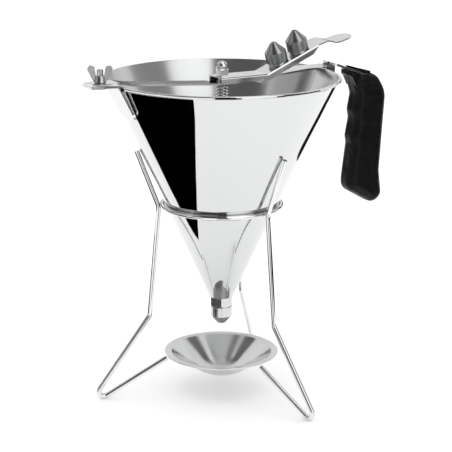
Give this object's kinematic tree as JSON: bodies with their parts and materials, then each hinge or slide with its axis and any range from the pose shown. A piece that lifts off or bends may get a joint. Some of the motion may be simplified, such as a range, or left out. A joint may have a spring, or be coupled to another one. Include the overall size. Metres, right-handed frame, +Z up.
{
  "type": "batter dispenser",
  "caption": "Steel funnel with a lever valve, screw-on nozzles and a side grip, resting in a three-legged wire stand with a drip saucer.",
  "frame": {"origin": "On the floor under the funnel's axis, midway between the three feet, at the mount named base_centre.", "axes": "+Z points up along the funnel's axis; +X runs along the bridge bar towards the grip; +Y completes a right-handed frame."},
  "size_m": [0.2747, 0.1974, 0.2967],
  "materials": {
    "polished_steel": "mirror-polished stainless steel sheet",
    "wire_steel": "bright polished steel wire",
    "strip_steel": "fine-brushed stainless steel strip",
    "turned_steel": "turned and tumbled stainless steel",
    "grip_plastic": "black moulded plastic with a satin surface",
    "gasket_rubber": "black flat rubber seal"
  },
  "bodies": {
    "stand": {"support_ring": "wire_steel", "front_leg": "wire_steel", "rear_leg": "wire_steel", "left_leg": "wire_steel", "drip_saucer": "polished_steel"},
    "funnel": {"funnel_cone": "polished_steel", "spout_socket": "turned_steel", "clamp_bracket": "strip_steel", "clamp_stud": "turned_steel", "bridge_bar": "strip_steel", "rod_bush": "turned_steel", "pivot_knuckle": "strip_steel", "grip_bracket": "strip_steel", "grip_weld_angle": "strip_steel", "grip": "grip_plastic", "grip_rivet": "strip_steel"},
    "wing": {"wing_nut": "turned_steel"},
    "lever_arm": {"lever": "strip_steel", "pivot_pin": "strip_steel", "fine_nozzle_post": "turned_steel", "medium_nozzle_post": "turned_steel"},
    "valve": {"valve_rod": "wire_steel", "cap_nut": "polished_steel", "spring_collar": "turned_steel", "collar_lock_nut": "turned_steel", "valve_plug": "turned_steel", "return_spring": "wire_steel"},
    "nozzle_in_use": {"outlet_nozzle": "turned_steel", "nozzle_gasket": "gasket_rubber"},
    "spare_fine": {"fine_nozzle": "turned_steel"},
    "spare_medium": {"medium_nozzle": "turned_steel"}
  },
  "joints": [
    {"name": "funnel_lift", "type": "slide", "parent": "stand", "child": "funnel", "axis": [0, 0, 1], "range_m": [0, 0.16]},
    {"name": "lever_press", "type": "hinge", "parent": "funnel", "child": "lever_arm", "pos_m": [0.032, 0, 0.2582], "axis": [0, 1, 0], "range_deg": [0, 8], "stiffness_Nm_per_rad": 1, "springref_deg": -17.76},
    {"name": "valve_lift", "type": "slide", "parent": "funnel", "child": "valve", "axis": [0, 0, 1], "range_m": [0, 0.0055], "deforming": ["return_spring"]},
    {"name": "wing_nut_turn", "type": "hinge", "parent": "funnel", "child": "wing", "pos_m": [-0.10718, 0, 0.2675], "axis": [0, 0, 1], "continuous": true},
    {"name": "nozzle_unscrew", "type": "slide", "parent": "funnel", "child": "nozzle_in_use", "axis": [0, 0, -1], "range_m": [0, 0.012]},
    {"name": "fine_nozzle_off", "type": "slide", "parent": "lever_arm", "child": "spare_fine", "axis": [-0.2588, 0, 0.9659], "range_m": [0, 0.012]},
    {"name": "medium_nozzle_off", "type": "slide", "parent": "lever_arm", "child": "spare_medium", "axis": [-0.2588, 0, 0.9659], "range_m": [0, 0.012]}
  ],
  "couplings": [
    {"joint": "valve_lift", "follows": "lever_press", "m_per_rad": 0.0375}
  ]
}
